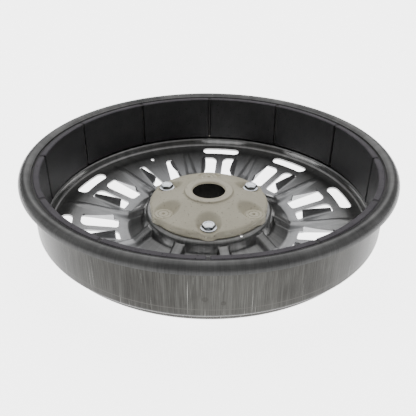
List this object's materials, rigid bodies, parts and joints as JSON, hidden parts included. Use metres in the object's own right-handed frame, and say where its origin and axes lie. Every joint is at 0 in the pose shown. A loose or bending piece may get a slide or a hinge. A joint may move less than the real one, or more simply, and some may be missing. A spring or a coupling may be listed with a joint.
{
  "type": "motor rotor",
  "caption": "Shallow pressed-steel drum lined with magnet segments, with a ribbed, vented dished floor and a round moulded hub screwed to its centre, which a motor shaft drives.",
  "frame": {"origin": "on the spin axis, level with the drum's lowest point", "axes": "+Z along the spin axis, out of the drum's open mouth; +X to the right and +Y away from the viewer as pictured"},
  "size_m": [0.3, 0.3, 0.0669],
  "materials": {
    "drum_steel": "zinc-coated pressed sheet, satin, with vertical draw marks",
    "ferrite": "dark sintered ferrite, matt, ground on its top and inner faces",
    "glue": "dark cured adhesive",
    "hub_plastic": "beige glass-filled moulding, satin",
    "bush_steel": "dark oiled steel",
    "screw_zinc": "yellowish zinc plating, slightly worn",
    "nut_steel": "plain zinc plating"
  },
  "bodies": {
    "root": {"rotor_drum": "drum_steel", "magnet_glue": "glue", "drive_hub": "hub_plastic", "shaft_bush": "bush_steel", "magnet_01": "ferrite", "magnet_02": "ferrite", "magnet_03": "ferrite", "magnet_04": "ferrite", "magnet_05": "ferrite", "magnet_06": "ferrite", "magnet_07": "ferrite", "magnet_08": "ferrite", "magnet_09": "ferrite", "magnet_10": "ferrite", "magnet_11": "ferrite", "magnet_12": "ferrite", "hub_screw_01": "screw_zinc", "hub_screw_02": "screw_zinc", "hub_screw_03": "screw_zinc", "seat_nut_01": "nut_steel", "seat_nut_02": "nut_steel", "seat_nut_03": "nut_steel"}
  },
  "joints": []
}
